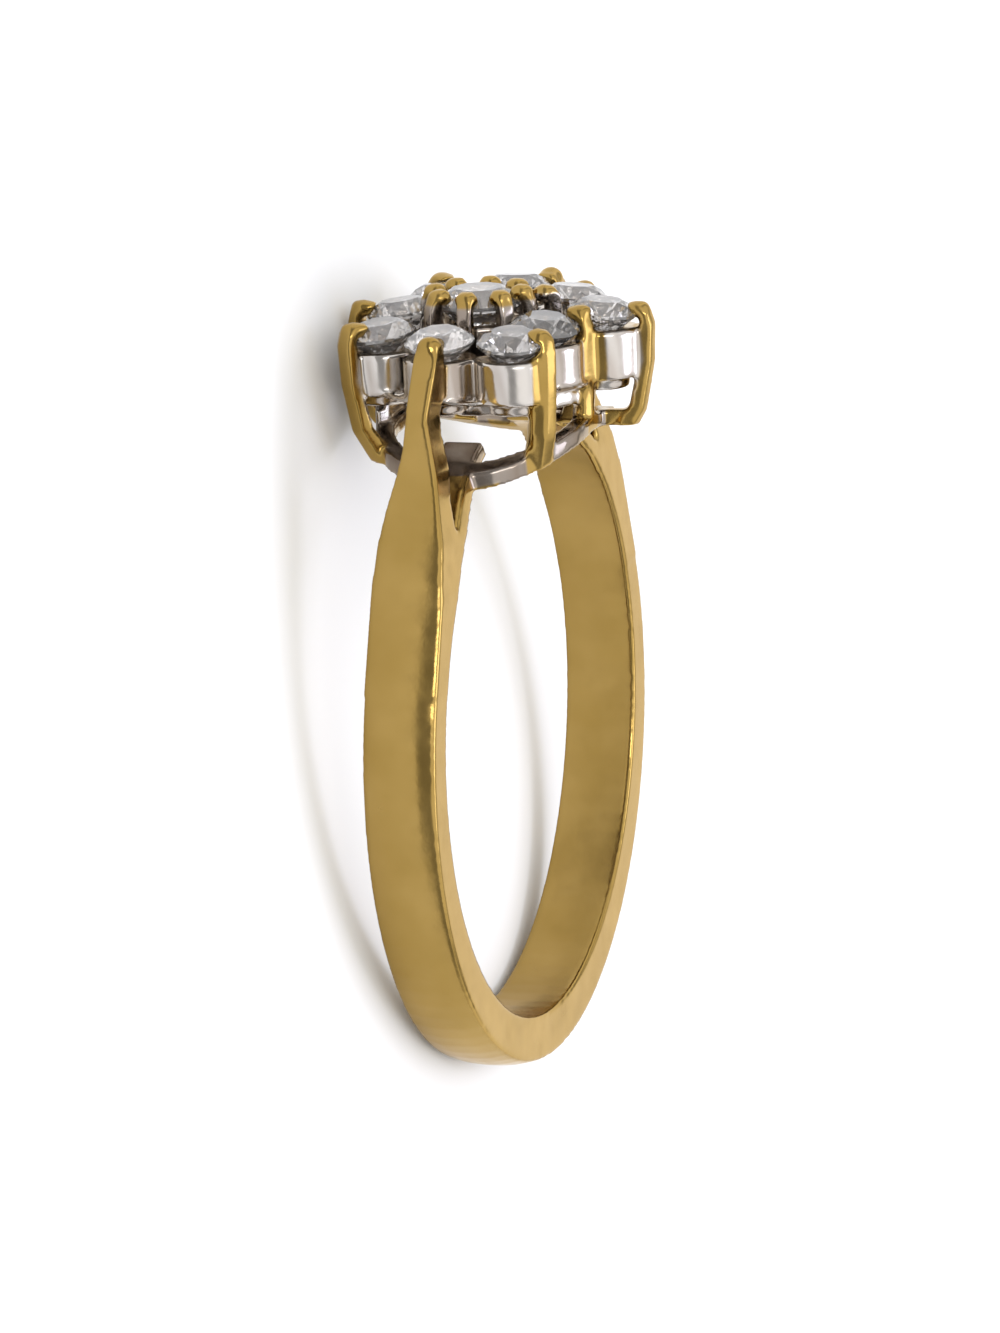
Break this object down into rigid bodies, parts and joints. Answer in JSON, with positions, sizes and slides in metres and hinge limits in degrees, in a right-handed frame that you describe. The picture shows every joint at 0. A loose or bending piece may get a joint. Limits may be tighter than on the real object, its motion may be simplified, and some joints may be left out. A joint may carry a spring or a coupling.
{
  "type": "cluster ring",
  "caption": "Cluster ring with a claw-set centre stone ringed by smaller stones on a slim band with split shoulders.",
  "frame": {"origin": "centre of the finger hole, on the band's middle plane", "axes": "the ring lies on its side: the head points along -Y, the finger hole's axis leans from +Z towards +Y by the small angle at which the ring rests, and +X runs across the shoulders"},
  "size_m": [0.0192, 0.0225, 0.0088],
  "materials": {
    "yellow_gold": "polished 18 ct yellow gold, white-plated round the collets and gallery, with soft wear",
    "white_stone": "colourless brilliant-cut stone"
  },
  "bodies": {
    "root": {"ring_mount": "yellow_gold", "centre_stone": "white_stone", "outer_stone_1": "white_stone", "outer_stone_2": "white_stone", "outer_stone_3": "white_stone", "outer_stone_4": "white_stone", "outer_stone_5": "white_stone", "outer_stone_6": "white_stone", "outer_stone_7": "white_stone", "outer_stone_8": "white_stone", "outer_stone_9": "white_stone"}
  },
  "joints": []
}
